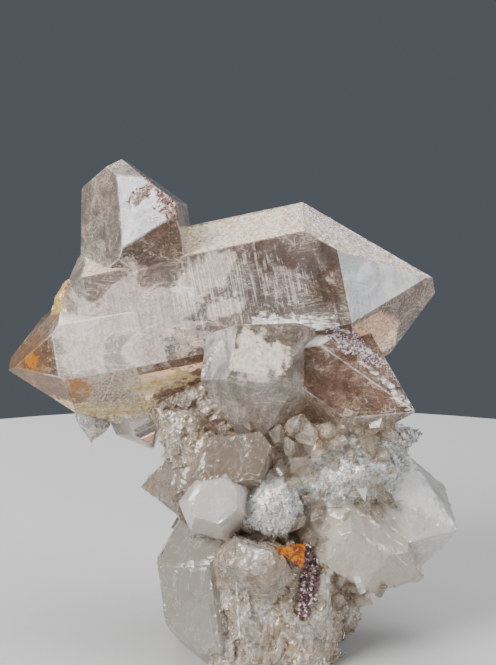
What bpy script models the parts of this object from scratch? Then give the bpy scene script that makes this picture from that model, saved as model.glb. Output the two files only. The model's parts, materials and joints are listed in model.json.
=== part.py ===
"""A cluster of smoky quartz crystals, grown together as one solid and cut off flat where it rests.

The origin is the middle of the flat cut. +Z is up, X runs along the long crystal, and -Y is the front.
Every crystal has the habit of quartz: a six-sided prism that ends in six tip faces.
"""

from math import asin, cos, degrees, radians, sin, sqrt
import random

import bmesh
import bpy
from mathutils import Matrix, Vector

MM = 0.001
OBJECT_NAME = "smoky_quartz_cluster"

# Angle between a quartz tip face's normal and the long axis, in degrees.
TIP_SLOPE = 51.8
# A crystal is split out of a block this large, in millimetres.
BLOCK = 400.0
# The flat cut is the plane z = 0, and nothing grows below it.
GROUND_DEPTH = 60.0

# Turn between one facet and the next, in degrees, which spreads them evenly round a lump.
GOLDEN_ANGLE = 137.5
# The same step as a share of a width.
GOLDEN_SHARE = 0.6180339887

SMOKY = (0.36, 0.29, 0.25, 1.0)
SMOOTHNESS = 0.12
CLEARNESS = 0.7
QUARTZ_IOR = 1.544

# Small crystals that cover the lower part, between the large ones.
SPRINKLE_SEED = 11
SPRINKLE_COUNT = 130
SPRINKLE_RADIUS = (1.8, 4.0)
SPRINKLE_CENTRE = Vector((4.0, -1.0, 34.0))
SPRINKLE_REACH = Vector((25.0, 21.0, 27.0))
# The band that they grow in, as the sine of the height above level.
SPRINKLE_TOP = 0.82
SPRINKLE_BOTTOM = -0.73
SPRINKLE_SCATTER = 38.0

# Still smaller ones, which fill the hollows of the front.
DRUSE_SEED = 7
DRUSE_COUNT = 110
DRUSE_RADIUS = (1.3, 2.7)
DRUSE_CENTRE = Vector((5.0, -24.5, 38.0))
DRUSE_HALF_SIZE = Vector((25.0, 0.0, 24.0))
DRUSE_CURVE = 0.012
DRUSE_FAN = 1.4


def clear_scene():
    for item in list(bpy.data.objects):
        bpy.data.objects.remove(item, do_unlink=True)


def new_collection(name, hidden=False):
    made = bpy.data.collections.new(name)
    made.hide_render = hidden
    bpy.context.scene.collection.children.link(made)
    return made


def pointing(azimuth, elevation):
    """The unit vector at this compass angle from +X and this height above level, in degrees."""
    level = cos(radians(elevation))
    return Vector((level * cos(radians(azimuth)), level * sin(radians(azimuth)), sin(radians(elevation))))


def six(value):
    return [value] * 6 if isinstance(value, (int, float)) else list(value)


def split_off(mesh, point, normal):
    """Removes what lies past a plane, and closes the cut with one flat face."""
    everything = mesh.verts[:] + mesh.edges[:] + mesh.faces[:]
    bmesh.ops.bisect_plane(mesh, geom=everything, plane_co=point, plane_no=normal, clear_outer=True)
    rim = [edge for edge in mesh.edges if edge.is_boundary]
    if rim:
        bmesh.ops.holes_fill(mesh, edges=rim, sides=0)


def solid_from_planes(name, centre, planes, where):
    """A closed solid with flat faces: a block split along planes of (normal, distance from the centre)."""
    mesh = bmesh.new()
    bmesh.ops.create_cube(mesh, size=BLOCK)
    for normal, distance in planes:
        split_off(mesh, normal * distance, normal)
    bmesh.ops.recalc_face_normals(mesh, faces=mesh.faces[:])
    data = bpy.data.meshes.new(name)
    bmesh.ops.transform(mesh, matrix=Matrix.Scale(MM, 4) @ Matrix.Translation(centre), verts=mesh.verts[:])
    mesh.to_mesh(data)
    mesh.free()
    made = bpy.data.objects.new(name, data)
    where.objects.link(made)
    return made


def crystal_planes(azimuth, elevation, roll, sides, tips, feet):
    """The planes of a quartz crystal.

    sides: how far each prism face is from the axis. tips and feet: how far from the centre each
    end face, carried on, would meet the axis. A short reach makes a large face.
    """
    axis = pointing(azimuth, elevation)
    front = Vector((0.0, -1.0, 0.0))
    front = (front - axis * front.dot(axis)).normalized()
    planes = []
    for turn, (side, tip, foot) in enumerate(zip(six(sides), six(tips), six(feet))):
        face = Matrix.Rotation(radians(roll + 60.0 * turn), 3, axis) @ front
        outward = face * sin(radians(TIP_SLOPE))
        along = axis * cos(radians(TIP_SLOPE))
        planes.append((face, side))
        planes.append((outward + along, tip * cos(radians(TIP_SLOPE))))
        planes.append((outward - along, foot * cos(radians(TIP_SLOPE))))
    return planes


def crystal(where, name, centre, azimuth, elevation, roll, sides, tips, feet, broken=()):
    """One crystal. Each entry of broken is a face that it broke along: azimuth, elevation, distance."""
    planes = crystal_planes(azimuth, elevation, roll, sides, tips, feet)
    planes += [(pointing(turn, rise), distance) for turn, rise, distance in broken]
    return solid_from_planes(name, Vector(centre), planes, where)


def rubble(where, name, centre, size, faces, seed):
    """A broken lump: flat chips at random angles, as far out as an ellipsoid of this half size."""
    draw = random.Random(seed)
    half = Vector(size)
    planes = []
    for step in range(faces):
        rise = 1.0 - 2.0 * (step + 0.5) / faces
        turn = GOLDEN_ANGLE * step + draw.uniform(-16.0, 16.0)
        level = sqrt(1.0 - rise * rise)
        normal = Vector((level * cos(radians(turn)), level * sin(radians(turn)), rise))
        reach = (normal * half).length
        planes.append((normal, reach * draw.uniform(0.86, 1.02)))
    return solid_from_planes(name, Vector(centre), planes, where)


def stub(where, name, centre, azimuth, elevation, rim, spread=14.0, depth=16.0, turn=0.0):
    """A crystal end with a flat face towards azimuth and elevation, whose middle is the centre.

    rim: how far each side is from the middle, counted round the face. The sides widen going in.
    """
    out = pointing(azimuth, elevation)
    up = Vector((0.0, 0.0, 1.0))
    up = (up - out * up.dot(out)).normalized()
    planes = [(out, 0.0), (-out, depth)]
    for step, distance in enumerate(rim):
        side = Matrix.Rotation(radians(turn + 360.0 * step / len(rim)), 3, out) @ up
        normal = side * cos(radians(spread)) + out * sin(radians(spread))
        planes.append((normal, distance * cos(radians(spread))))
    return solid_from_planes(name, Vector(centre), planes, where)


def large_crystals(where):
    """The four crystals that give the cluster its outline."""
    crystal(where, "long_crystal", (-6.8, 7.1, 83.8), -3.1, 12.2, -16.5,
            sides=(21.5, 21.5, 17.5, 21.5, 17.5, 21.0), tips=(53.5, 53.3, 56.0, 55.0, 42.0, 46.2),
            feet=(63.0, 63.0, 60.0, 60.0, 62.0, 63.0), broken=[(177.0, 12.0, 44.5)])
    crystal(where, "parallel_crystal", (-40.7, 1.0, 72.1), 1.2, 10.2, -16.4,
            sides=(15.9, 13.0, 17.0, 13.0, 13.0, 14.5), tips=48.5,
            feet=(31.6, 27.0, 23.0, 35.0, 32.0, 27.8))
    crystal(where, "top_crystal", (-35.9, 9.2, 101.4), -54.6, 26.2, -42.6,
            sides=(10.3, 15.6, 16.0, 14.0, 15.5, 16.8), tips=(27.3, 31.7, 40.0, 24.2, 23.5, 31.0),
            feet=40.0, broken=[(171.0, -3.0, 12.4)])
    crystal(where, "right_crystal", (12.4, -7.2, 66.2), -32.6, -8.3, -10.3,
            sides=(20.0, 10.0, 10.0, 14.0, 16.4, 16.4), tips=26.0, feet=34.0)


def front_crystals(where):
    """The middle-sized crystals of the front, from the top down."""
    crystal(where, "middle_crystal", (-2.6, -16.4, 71.2), -113.6, -71.0, 0.6,
            sides=(13.0, 13.0, 12.0, 12.0, 11.0, 12.0), tips=(18.5, 20.5, 20.0, 20.0, 20.0, 19.5),
            feet=(28.0, 28.0, 25.0, 26.0, 26.0, 27.0), broken=[(96.0, 70.0, 9.4)])
    stub(where, "lower_plate", (-13.8, -33.5, 44.0), -96.0, 17.0,
         rim=(5.0, 5.8, 6.0, 5.0, 4.9, 5.4, 5.8), turn=12.0)
    crystal(where, "left_brown_crystal", (-17.5, -11.0, 42.5), 168.0, -8.0, 22.0,
            sides=(10.5, 8.0, 8.0, 8.5, 8.0, 8.0), tips=(16.0, 16.0, 18.0, 18.0, 16.0, 16.0), feet=18.0)
    crystal(where, "left_plate", (-14.0, -9.0, 20.5), 120.0, 74.0, -25.0,
            sides=(16.0, 14.0, 13.0, 14.0, 13.0, 14.5), tips=(22.0, 24.0, 27.0, 26.0, 24.0, 22.0),
            feet=40.0, broken=[(205.0, -38.0, 19.0)])
    crystal(where, "right_frosted_crystal", (32.2, -5.0, 31.3), -49.5, 4.7, -14.3,
            sides=(15.0, 14.0, 14.0, 13.0, 14.0, 14.5), tips=20.0, feet=26.0)
    crystal(where, "right_beige_prism", (17.0, -12.0, 31.0), 13.0, -35.0, 5.0,
            sides=(14.5, 12.0, 10.0, 12.0, 12.0, 12.0), tips=(27.0, 27.0, 25.0, 26.0, 27.0, 28.0), feet=22.0)
    crystal(where, "sparkling_crystal", (15.0, -9.0, 46.0), -144.0, 3.0, 39.0,
            sides=(15.0, 12.0, 11.0, 13.0, 13.0, 14.0), tips=(23.0, 26.0, 25.0, 25.0, 27.0, 25.0), feet=26.0)
    crystal(where, "shoulder_crystal", (22.0, -5.0, 48.5), -8.0, 20.0, -30.0,
            sides=(11.0, 10.0, 9.0, 10.0, 9.0, 10.0), tips=16.5, feet=22.0)
    stub(where, "striped_crystal", (-5.6, -35.5, 30.9), -96.0, 27.0,
         rim=(3.0, 5.2, 5.6, 3.0, 5.2, 5.6), spread=20.0, turn=-12.0)
    crystal(where, "foot_crystal", (2.0, -15.0, 17.5), 79.0, 80.0, 8.0,
            sides=(13.8, 16.0, 12.0, 13.0, 12.0, 16.0), tips=(24.0, 25.0, 26.0, 26.0, 25.0, 24.0), feet=40.0)
    crystal(where, "left_foot_crystal", (-7.5, -15.0, 17.0), 103.0, 76.0, -14.0,
            sides=(12.5, 11.0, 10.5, 11.0, 10.5, 11.0), tips=(20.0, 22.0, 24.0, 24.0, 22.0, 21.0), feet=40.0)
    crystal(where, "hanging_point", (-45.4, 5.0, 57.5), -159.0, -84.0, 18.0,
            sides=(5.2, 4.6, 5.0, 5.0, 4.6, 5.0), tips=(10.0, 9.0, 10.0, 10.0, 9.5, 10.5), feet=14.0)
    crystal(where, "hanging_brown_crystal", (-35.0, 4.0, 57.5), 16.0, -67.0, -10.0,
            sides=(6.5, 5.5, 6.5, 6.0, 6.0, 6.0), tips=(12.5, 11.5, 13.0, 13.0, 12.0, 12.5), feet=16.0)
    crystal(where, "neck_crystal", (-20.0, -13.0, 54.0), 177.0, 41.0, 21.0,
            sides=(7.5, 7.0, 7.0, 7.0, 6.5, 7.0), tips=12.5, feet=16.0)
    stub(where, "waist_crystal", (-9.0, -28.5, 52.7), -90.0, 24.0,
         rim=(6.0, 8.0, 9.5, 5.5, 7.0, 9.0), turn=8.0)
    crystal(where, "corner_crystal", (27.5, -7.5, 53.5), -20.0, -11.0, -25.0,
            sides=(6.5, 6.0, 6.0, 6.0, 6.0, 6.5), tips=7.5, feet=16.0)


def back_crystals(where):
    """Crystals of the far side, which finish the cluster all round."""
    crystal(where, "back_right_crystal", (12.0, 14.0, 62.0), 58.0, 10.0, 30.0,
            sides=(12.0, 11.0, 12.0, 10.5, 12.0, 11.0), tips=(27.0, 25.0, 26.0, 28.0, 25.0, 27.0), feet=26.0)
    crystal(where, "back_left_crystal", (-18.0, 14.0, 56.0), 134.0, 8.0, 14.0,
            sides=(11.0, 10.0, 9.5, 10.5, 10.0, 9.5), tips=(26.0, 24.0, 25.0, 27.0, 25.0, 24.0), feet=26.0)
    crystal(where, "back_middle_crystal", (2.0, 14.0, 40.0), 94.0, 16.0, 8.0,
            sides=(12.0, 11.0, 11.5, 10.0, 11.0, 12.0), tips=(21.0, 23.0, 22.0, 23.0, 22.0, 21.0), feet=26.0)
    crystal(where, "back_foot_crystal", (14.0, 9.0, 22.0), 48.0, -22.0, 18.0,
            sides=(10.0, 11.0, 9.5, 10.0, 11.0, 10.0), tips=19.0, feet=26.0)
    crystal(where, "back_heel_crystal", (-10.0, 10.0, 24.0), 128.0, -16.0, 4.0,
            sides=(10.5, 10.0, 11.0, 10.0, 10.0, 11.0), tips=19.0, feet=26.0)


def lumps(where):
    """Broken lumps that the crystals grow from."""
    rubble(where, "heart", (3.0, 1.0, 40.0), (27.0, 19.0, 24.0), 40, 3)
    rubble(where, "root", (3.0, 0.0, 12.0), (19.0, 17.0, 26.0), 34, 5)
    rubble(where, "upper_heart", (-4.0, 3.0, 62.0), (30.0, 17.0, 14.0), 34, 8)
    rubble(where, "front_lump", (0.0, -22.0, 40.5), (7.5, 10.0, 8.5), 26, 13)
    rubble(where, "right_root", (14.0, -8.0, 15.0), (9.0, 12.0, 17.0), 30, 17)
    rubble(where, "neck", (-8.0, -9.0, 50.0), (10.0, 9.0, 11.0), 26, 19)
    rubble(where, "front_root", (-5.0, -13.0, 32.0), (12.0, 9.0, 11.0), 26, 23)
    rubble(where, "left_matrix", (-51.0, 3.0, 83.0), (3.6, 9.0, 8.5), 26, 21)


def sprinkled_crystals(where):
    """Small crystals pointing outwards all over the lower part."""
    draw = random.Random(SPRINKLE_SEED)
    for number in range(SPRINKLE_COUNT):
        rise = SPRINKLE_TOP + (SPRINKLE_BOTTOM - SPRINKLE_TOP) * (number + 0.5) / SPRINKLE_COUNT
        turn = GOLDEN_ANGLE * number + draw.uniform(-12.0, 12.0)
        level = sqrt(1.0 - rise * rise)
        out = Vector((level * cos(radians(turn)), level * sin(radians(turn)), rise))
        place = SPRINKLE_CENTRE + out * SPRINKLE_REACH
        radius = draw.uniform(*SPRINKLE_RADIUS)
        lean = degrees(asin(rise)) + draw.uniform(-SPRINKLE_SCATTER, SPRINKLE_SCATTER)
        heading = turn + draw.uniform(-SPRINKLE_SCATTER, SPRINKLE_SCATTER)
        sides = [radius * draw.uniform(0.8, 1.0) for _ in range(6)]
        tips = [radius * draw.uniform(1.7, 2.1) for _ in range(6)]
        crystal(where, f"small_crystal_{number:02d}", place, heading, lean, draw.uniform(0.0, 60.0),
                sides=sides, tips=tips, feet=radius * 3.0)


def front_druse(where):
    """A bed of small points between the larger crystals of the front, further back towards its sides."""
    draw = random.Random(DRUSE_SEED)
    for number in range(DRUSE_COUNT):
        across = DRUSE_HALF_SIZE.x * (2.0 * ((number * GOLDEN_SHARE) % 1.0) - 1.0)
        up = DRUSE_HALF_SIZE.z * (2.0 * (number + 0.5) / DRUSE_COUNT - 1.0)
        place = DRUSE_CENTRE + Vector((across, DRUSE_CURVE * across * across, up))
        radius = draw.uniform(*DRUSE_RADIUS)
        sides = [radius * draw.uniform(0.75, 1.0) for _ in range(6)]
        tips = [radius * draw.uniform(1.6, 2.1) for _ in range(6)]
        heading = -90.0 + DRUSE_FAN * across + draw.uniform(-30.0, 30.0)
        crystal(where, f"druse_{number:03d}", place, heading, draw.uniform(-35.0, 50.0),
                draw.uniform(0.0, 60.0), sides=sides, tips=tips, feet=radius * 3.5)


def quartz_material():
    material = bpy.data.materials.new("smoky_quartz")
    material.use_nodes = True
    shader = material.node_tree.nodes["Principled BSDF"]
    shader.inputs["Base Color"].default_value = SMOKY
    shader.inputs["Roughness"].default_value = SMOOTHNESS
    shader.inputs["Metallic"].default_value = 0.0
    shader.inputs["Transmission Weight"].default_value = CLEARNESS
    shader.inputs["IOR"].default_value = QUARTZ_IOR
    return material


def ground_cutter(where):
    """The block whose top is the flat cut that the cluster rests on."""
    mesh = bmesh.new()
    bmesh.ops.create_cube(mesh, size=1.0)
    size = Matrix.Diagonal((BLOCK * MM, BLOCK * MM, GROUND_DEPTH * MM, 1.0))
    drop = Matrix.Translation((0.0, 0.0, -GROUND_DEPTH * MM / 2.0))
    bmesh.ops.transform(mesh, matrix=drop @ size, verts=mesh.verts[:])
    data = bpy.data.meshes.new("ground_cutter")
    mesh.to_mesh(data)
    mesh.free()
    made = bpy.data.objects.new("ground_cutter", data)
    where.objects.link(made)
    return made


def hide_helpers(collection):
    for helper in collection.objects:
        helper.hide_render = True
        helper.display_type = "WIRE"


def main():
    clear_scene()
    parts = new_collection(OBJECT_NAME)
    grown = new_collection("crystals_to_join", hidden=True)
    cutters = new_collection("cutters", hidden=True)

    large_crystals(grown)
    front_crystals(grown)
    back_crystals(grown)
    lumps(grown)
    sprinkled_crystals(grown)
    front_druse(grown)

    cluster = rubble(parts, "quartz_cluster", (3.0, 0.0, 30.0), (15.0, 12.0, 18.0), 20, 2)
    cluster.data.materials.append(quartz_material())
    # So many flat faces nearly meet that only the manifold solver leaves the joined solid closed.
    join = cluster.modifiers.new("grown_together", "BOOLEAN")
    join.operation = "UNION"
    join.operand_type = "COLLECTION"
    join.collection = grown
    join.solver = "MANIFOLD"
    flat = cluster.modifiers.new("flat_cut", "BOOLEAN")
    flat.operation = "DIFFERENCE"
    flat.object = ground_cutter(cutters)
    flat.solver = "MANIFOLD"
    hide_helpers(grown)
    hide_helpers(cutters)


main()
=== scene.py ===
"""Looks of the smoky quartz cluster.

Clear smoky crystals above, a milky and frosted mass of smaller ones below, mineral crusts and stains.
Lengths are in millimetres until a mesh is made, and angles in degrees. -Y is the front.
"""

import json
from math import cos, degrees, asin, pi, radians, sin, sqrt
import random

import bmesh
import bpy
from mathutils import Matrix, Vector, bvhtree, kdtree
import numpy as np

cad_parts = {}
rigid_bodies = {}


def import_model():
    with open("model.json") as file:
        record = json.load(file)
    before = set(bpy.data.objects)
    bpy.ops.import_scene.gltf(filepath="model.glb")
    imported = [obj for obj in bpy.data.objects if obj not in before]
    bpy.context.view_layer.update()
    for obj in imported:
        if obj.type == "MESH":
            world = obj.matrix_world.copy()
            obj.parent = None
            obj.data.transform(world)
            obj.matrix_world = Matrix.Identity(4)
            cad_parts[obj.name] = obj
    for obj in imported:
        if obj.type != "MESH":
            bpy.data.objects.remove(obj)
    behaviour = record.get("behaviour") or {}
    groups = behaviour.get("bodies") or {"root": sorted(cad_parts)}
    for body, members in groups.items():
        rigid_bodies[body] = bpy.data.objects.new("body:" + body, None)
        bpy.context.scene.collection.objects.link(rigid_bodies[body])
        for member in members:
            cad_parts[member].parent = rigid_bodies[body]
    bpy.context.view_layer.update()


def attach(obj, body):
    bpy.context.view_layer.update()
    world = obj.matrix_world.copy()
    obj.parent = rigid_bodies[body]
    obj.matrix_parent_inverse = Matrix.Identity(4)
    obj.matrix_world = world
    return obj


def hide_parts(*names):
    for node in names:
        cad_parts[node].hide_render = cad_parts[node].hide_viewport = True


MM = 0.001
IMAGE_WIDTH = 496
IMAGE_HEIGHT = 665

TIP_SLOPE = 51.8
BLOCK = 400.0
GROUND_DEPTH = 60.0
WELD = 0.01
WORN_EDGE = 0.22
GOLDEN_ANGLE = 137.5
GOLDEN_SHARE = 0.6180339887

SPRINKLE_SEED = 11
SPRINKLE_COUNT = 130
SPRINKLE_RADIUS = (1.8, 4.0)
SPRINKLE_SIDES = (0.5, 1.15)
SPRINKLE_TIPS = (1.0, 2.3)
SPRINKLE_CENTRE = Vector((4.0, -1.0, 34.0))
SPRINKLE_REACH = Vector((25.0, 21.0, 27.0))
SPRINKLE_TOP = 0.82
SPRINKLE_BOTTOM = -0.73
SPRINKLE_SCATTER = 38.0

DRUSE_SEED = 7
DRUSE_COUNT = 110
DRUSE_RADIUS = (1.3, 2.7)
DRUSE_SIDES = (0.4, 1.25)
DRUSE_TIPS = (0.7, 2.4)
DRUSE_CENTRE = Vector((5.0, -24.5, 38.0))
DRUSE_HALF_SIZE = Vector((25.0, 0.0, 24.0))
DRUSE_CURVE = 0.012
DRUSE_FAN = 1.4

# The photograph's view: 4 pixels to the millimetre at this point, from this far, looking down by this much.
VIEW_CENTRE = Vector((-6.0, 0.0, 78.0))
VIEW_DISTANCE = 400.0
VIEW_DOWN = 10.0
VIEW_HEIGHT = 166.25
SENSOR_HEIGHT = 24.0
BACKDROP_COLOUR = (0.085, 0.098, 0.113, 1.0)
# The table top, in metres.
TABLE_RADIUS = 0.26
TABLE_THICKNESS = 0.012

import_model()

planes_of = {}


def pointing(azimuth, elevation):
    level = cos(radians(elevation))
    return Vector((level * cos(radians(azimuth)), level * sin(radians(azimuth)), sin(radians(elevation))))


def six(value):
    return [value] * 6 if isinstance(value, (int, float)) else list(value)


def stored(mesh, data):
    """Puts an edited bmesh in a mesh, and frees it."""
    mesh.to_mesh(data)
    mesh.free()
    return data


def linked(name, data, where=None):
    """A new object, in this collection or else straight in the scene."""
    made = bpy.data.objects.new(name, data)
    where = bpy.context.scene.collection if where is None else where
    where.objects.link(made)
    return made


def square_to(axis, direction):
    """The unit direction square to an axis that comes nearest to this one."""
    direction = Vector(direction)
    return (direction - axis * direction.dot(axis)).normalized()


def at_height(turn, rise):
    """The direction at this angle about the vertical whose height is rise."""
    level = sqrt(1.0 - rise * rise)
    return Vector((level * cos(radians(turn)), level * sin(radians(turn)), rise))


def split_off(mesh, point, normal):
    """Removes what lies past a plane, and closes the cut with one flat face."""
    everything = mesh.verts[:] + mesh.edges[:] + mesh.faces[:]
    bmesh.ops.bisect_plane(mesh, geom=everything, plane_co=point, plane_no=normal, clear_outer=True)
    rim = [edge for edge in mesh.edges if edge.is_boundary]
    if rim:
        bmesh.ops.holes_fill(mesh, edges=rim, sides=0)


def solid_from_planes(where, name, centre, axis, planes, worn=0.0):
    """A block split along planes of (normal, distance from the centre, label), its edges a little worn."""
    centre = Vector(centre)
    mesh = bmesh.new()
    bmesh.ops.create_cube(mesh, size=BLOCK)
    for normal, distance, _ in planes:
        split_off(mesh, normal * distance, normal)
    bmesh.ops.remove_doubles(mesh, verts=mesh.verts[:], dist=WELD)
    if worn:
        bmesh.ops.bevel(mesh, geom=mesh.edges[:], offset=worn, segments=1, affect="EDGES",
                        clamp_overlap=True)
    bmesh.ops.recalc_face_normals(mesh, faces=mesh.faces[:])
    bmesh.ops.transform(mesh, matrix=Matrix.Scale(MM, 4) @ Matrix.Translation(centre), verts=mesh.verts[:])
    linked(name, stored(mesh, bpy.data.meshes.new(name)), where)
    planes_of[name] = [
        (normal, (distance + normal.dot(centre)) * MM, label, axis) for normal, distance, label in planes
    ]


def crystal(where, name, centre, azimuth, elevation, roll, sides, tips, feet, broken=(), worn=0.0):
    """One quartz crystal, as the part's source makes it."""
    axis = pointing(azimuth, elevation)
    front = square_to(axis, (0.0, -1.0, 0.0))
    along = axis * cos(radians(TIP_SLOPE))
    planes = []
    for turn, (side, tip, foot) in enumerate(zip(six(sides), six(tips), six(feet))):
        face = Matrix.Rotation(radians(roll + 60.0 * turn), 3, axis) @ front
        outward = face * sin(radians(TIP_SLOPE))
        planes += [
            (face, side, f"side{turn}"),
            (outward + along, tip * cos(radians(TIP_SLOPE)), f"tip{turn}"),
            (outward - along, foot * cos(radians(TIP_SLOPE)), f"foot{turn}"),
        ]
    for number, (turn, rise, distance) in enumerate(broken):
        planes.append((pointing(turn, rise), distance, f"broken{number}"))
    solid_from_planes(where, name, centre, axis, planes, worn)


def rubble(where, name, centre, size, faces, seed):
    """A broken lump: flat chips at random angles, as far out as an ellipsoid of this half size."""
    draw = random.Random(seed)
    planes = []
    for step in range(faces):
        rise = 1.0 - 2.0 * (step + 0.5) / faces
        normal = at_height(GOLDEN_ANGLE * step + draw.uniform(-16.0, 16.0), rise)
        reach = (normal * Vector(size)).length
        planes.append((normal, reach * draw.uniform(0.86, 1.02), f"chip{step}"))
    solid_from_planes(where, name, centre, Vector((0.0, 0.0, 1.0)), planes)


def stub(where, name, centre, azimuth, elevation, rim, spread=14.0, depth=16.0, turn=0.0):
    """A crystal end with a flat face towards azimuth and elevation, whose middle is the centre."""
    out = pointing(azimuth, elevation)
    up = square_to(out, (0.0, 0.0, 1.0))
    planes = [(out, 0.0, "face"), (-out, depth, "back")]
    for step, distance in enumerate(rim):
        side = Matrix.Rotation(radians(turn + 360.0 * step / len(rim)), 3, out) @ up
        normal = side * cos(radians(spread)) + out * sin(radians(spread))
        planes.append((normal, distance * cos(radians(spread)), f"rim{step}"))
    solid_from_planes(where, name, centre, out, planes)


def all_crystals(clear, milky):
    """The crystals and lumps of the part's source, each in the group that its looks need.

    The sprinkled and the druse crystals are less even than in the source.
    """
    large_crystals(clear)
    front_crystals(clear, milky)
    back_crystals(milky)
    lumps(milky)
    sprinkled_crystals(clear)
    front_druse(clear)


def large_crystals(where):
    crystal(where, "long_crystal", (-6.8, 7.1, 83.8), -3.1, 12.2, -16.5,
            sides=(21.5, 21.5, 17.5, 21.5, 17.5, 21), tips=(53.5, 53.3, 56, 55, 42, 46.2),
            feet=(63, 63, 60, 60, 62, 63), broken=[(177, 12, 44.5)], worn=WORN_EDGE)
    crystal(where, "parallel_crystal", (-40.7, 1, 72.1), 1.2, 10.2, -16.4,
            sides=(15.9, 13, 17, 13, 13, 14.5), tips=48.5,
            feet=(31.6, 27, 23, 35, 32, 27.8), worn=WORN_EDGE)
    crystal(where, "top_crystal", (-35.9, 9.2, 101.4), -54.6, 26.2, -42.6,
            sides=(10.3, 15.6, 16, 14, 15.5, 16.8), tips=(27.3, 31.7, 40, 24.2, 23.5, 31),
            feet=40, broken=[(171, -3, 12.4)], worn=WORN_EDGE)
    crystal(where, "right_crystal", (12.4, -7.2, 66.2), -32.6, -8.3, -10.3,
            sides=(20, 10, 10, 14, 16.4, 16.4), tips=26, feet=34, worn=WORN_EDGE)


def front_crystals(clear, where):
    crystal(clear, "middle_crystal", (-2.6, -16.4, 71.2), -113.6, -71, 0.6,
            sides=(13, 13, 12, 12, 11, 12), tips=(18.5, 20.5, 20, 20, 20, 19.5),
            feet=(28, 28, 25, 26, 26, 27), broken=[(96, 70, 9.4)], worn=WORN_EDGE)
    stub(where, "lower_plate", (-13.8, -33.5, 44), -96, 17,
         rim=(5, 5.8, 6, 5, 4.9, 5.4, 5.8), turn=12)
    crystal(where, "left_brown_crystal", (-17.5, -11, 42.5), 168, -8, 22,
            sides=(10.5, 8, 8, 8.5, 8, 8), tips=(16, 16, 18, 18, 16, 16), feet=18)
    crystal(where, "left_plate", (-14, -9, 20.5), 120, 74, -25,
            sides=(16, 14, 13, 14, 13, 14.5), tips=(22, 24, 27, 26, 24, 22),
            feet=40, broken=[(205, -38, 19)])
    crystal(where, "right_frosted_crystal", (32.2, -5, 31.3), -49.5, 4.7, -14.3,
            sides=(15, 14, 14, 13, 14, 14.5), tips=20, feet=26)
    crystal(where, "right_beige_prism", (17, -12, 31), 13, -35, 5,
            sides=(14.5, 12, 10, 12, 12, 12), tips=(27, 27, 25, 26, 27, 28), feet=22)
    crystal(where, "sparkling_crystal", (15, -9, 46), -144, 3, 39,
            sides=(15, 12, 11, 13, 13, 14), tips=(23, 26, 25, 25, 27, 25), feet=26)
    crystal(where, "shoulder_crystal", (22, -5, 48.5), -8, 20, -30,
            sides=(11, 10, 9, 10, 9, 10), tips=16.5, feet=22)
    stub(where, "striped_crystal", (-5.6, -35.5, 30.9), -96, 27,
         rim=(3, 5.2, 5.6, 3, 5.2, 5.6), spread=20, turn=-12)
    crystal(where, "foot_crystal", (2, -15, 17.5), 79, 80, 8,
            sides=(13.8, 16, 12, 13, 12, 16), tips=(24, 25, 26, 26, 25, 24), feet=40)
    crystal(where, "left_foot_crystal", (-7.5, -15, 17), 103, 76, -14,
            sides=(12.5, 11, 10.5, 11, 10.5, 11), tips=(20, 22, 24, 24, 22, 21), feet=40)
    crystal(where, "hanging_point", (-45.4, 5, 57.5), -159, -84, 18,
            sides=(5.2, 4.6, 5, 5, 4.6, 5), tips=(10, 9, 10, 10, 9.5, 10.5), feet=14)
    crystal(clear, "hanging_brown_crystal", (-35, 4, 57.5), 16, -67, -10,
            sides=(6.5, 5.5, 6.5, 6, 6, 6), tips=(12.5, 11.5, 13, 13, 12, 12.5), feet=16,
            worn=WORN_EDGE)
    crystal(where, "neck_crystal", (-20, -13, 54), 177, 41, 21,
            sides=(7.5, 7, 7, 7, 6.5, 7), tips=12.5, feet=16)
    stub(where, "waist_crystal", (-9, -28.5, 52.7), -90, 24,
         rim=(6, 8, 9.5, 5.5, 7, 9), turn=8)
    crystal(where, "corner_crystal", (27.5, -7.5, 53.5), -20, -11, -25,
            sides=(6.5, 6, 6, 6, 6, 6.5), tips=7.5, feet=16)


def back_crystals(where):
    crystal(where, "back_right_crystal", (12, 14, 62), 58, 10, 30,
            sides=(12, 11, 12, 10.5, 12, 11), tips=(27, 25, 26, 28, 25, 27), feet=26)
    crystal(where, "back_left_crystal", (-18, 14, 56), 134, 8, 14,
            sides=(11, 10, 9.5, 10.5, 10, 9.5), tips=(26, 24, 25, 27, 25, 24), feet=26)
    crystal(where, "back_middle_crystal", (2, 14, 40), 94, 16, 8,
            sides=(12, 11, 11.5, 10, 11, 12), tips=(21, 23, 22, 23, 22, 21), feet=26)
    crystal(where, "back_foot_crystal", (14, 9, 22), 48, -22, 18,
            sides=(10, 11, 9.5, 10, 11, 10), tips=19, feet=26)
    crystal(where, "back_heel_crystal", (-10, 10, 24), 128, -16, 4,
            sides=(10.5, 10, 11, 10, 10, 11), tips=19, feet=26)


def lumps(where):
    rubble(where, "middle", (3, 0, 30), (15, 12, 18), 20, 2)
    rubble(where, "heart", (3, 1, 40), (27, 19, 24), 40, 3)
    rubble(where, "root", (3, 0, 12), (19, 17, 26), 34, 5)
    rubble(where, "upper_heart", (-4, 3, 62), (30, 17, 14), 34, 8)
    rubble(where, "front_lump", (0, -22, 40.5), (7.5, 10, 8.5), 26, 13)
    rubble(where, "right_root", (14, -8, 15), (9, 12, 17), 30, 17)
    rubble(where, "neck", (-8, -9, 50), (10, 9, 11), 26, 19)
    rubble(where, "front_root", (-5, -13, 32), (12, 9, 11), 26, 23)
    rubble(where, "left_matrix", (-51, 3, 83), (3.6, 9, 8.5), 26, 21)


def six_drawn(draw, radius, shares):
    return [radius * draw.uniform(*shares) for _ in range(6)]


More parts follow.
